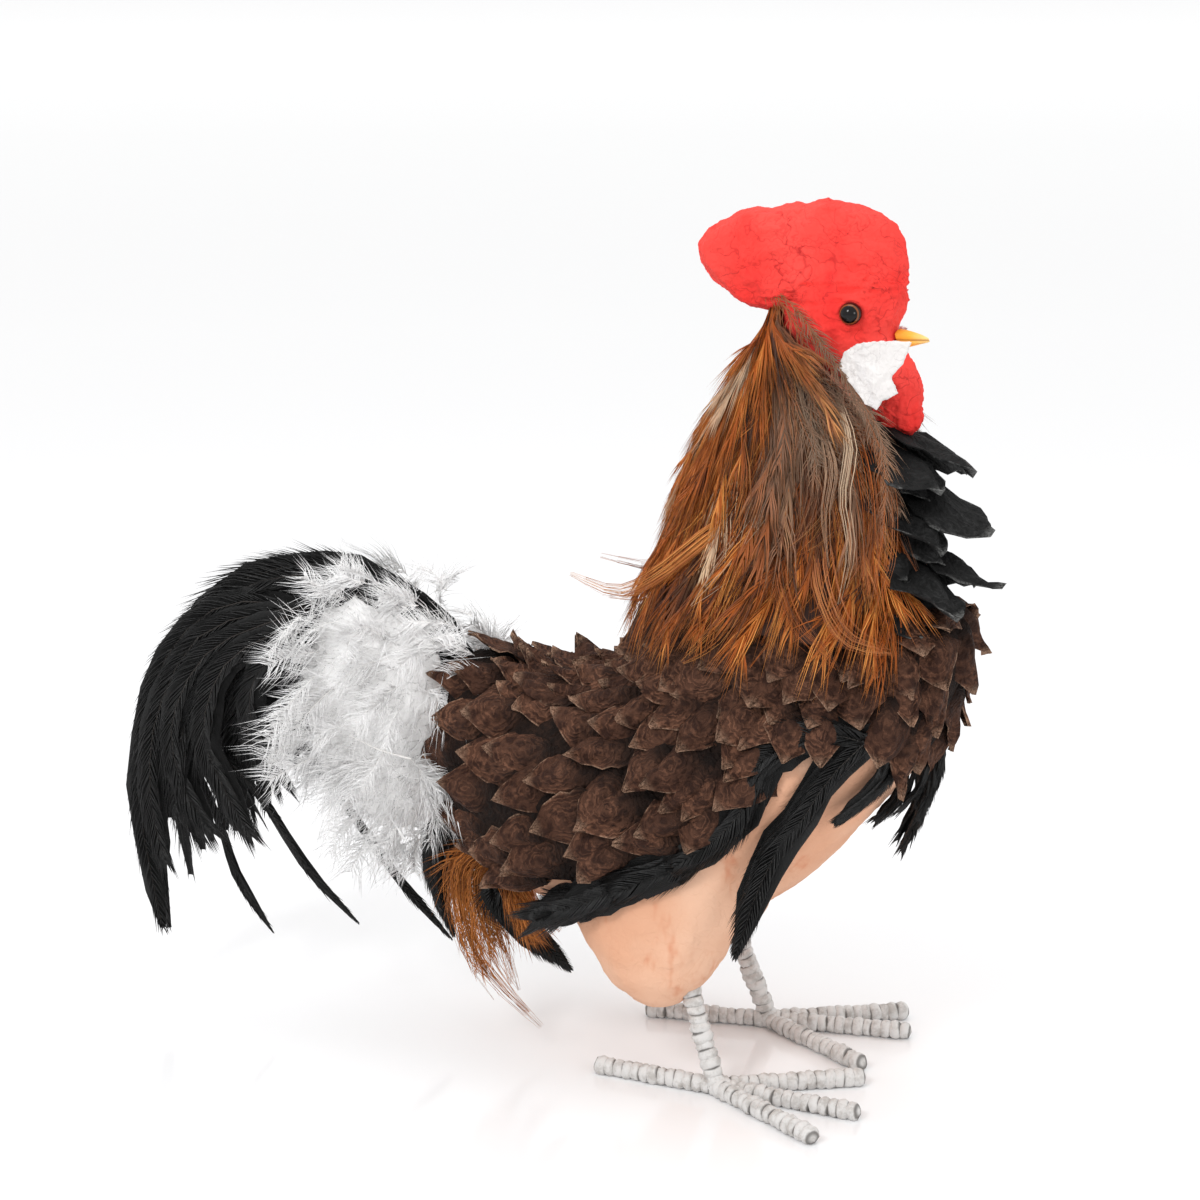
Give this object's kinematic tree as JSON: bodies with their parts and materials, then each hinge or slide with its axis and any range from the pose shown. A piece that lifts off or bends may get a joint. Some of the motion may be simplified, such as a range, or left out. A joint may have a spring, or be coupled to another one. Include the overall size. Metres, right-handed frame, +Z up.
{
  "type": "rooster figurine",
  "caption": "Standing craft rooster: foam body under brown paper leaves, real feathers on neck and tail, red paper head and comb, paper-wrapped wire legs",
  "frame": {"origin": "middle of the figurine's bounding box in plan, on the floor that its feet stand on", "axes": "+X towards the beak and breast, the length from tail to breast; +Y towards the bird's left side, the shortest way; +Z up"},
  "size_m": [0.4682, 0.1806, 0.4458],
  "materials": {
    "flesh_paper": "matt crumpled",
    "red_paper": "matt crumpled",
    "horn": "satin painted",
    "eye_glass": "glossy",
    "white_paper": "matt folded",
    "hackle_feather": "silky",
    "black_paper": "matt crumpled",
    "brown_paper": "matt crumpled",
    "black_feather": "satin",
    "white_fluff": "soft",
    "leg_wrap": "matt twisted"
  },
  "bodies": {
    "root": {"leg_right": "leg_wrap", "leg_left": "leg_wrap", "head_comb": "red_paper", "body_core": "flesh_paper", "eye_right": "eye_glass", "eye_left": "eye_glass", "beak": "horn", "neck_hackle": "hackle_feather", "ear_lobe_right": "white_paper", "ear_lobe_left": "white_paper", "throat_leaves": "black_paper", "body_leaves": "brown_paper", "tail_plume": "black_feather", "flank_feathers_right": "black_feather", "flank_feathers_left": "black_feather", "breast_tuft": "black_feather", "vent_feathers": "hackle_feather", "sickle_feather_1": "black_feather", "sickle_feather_2": "black_feather", "sickle_feather_3": "black_feather", "tail_fluff": "white_fluff"}
  },
  "joints": []
}
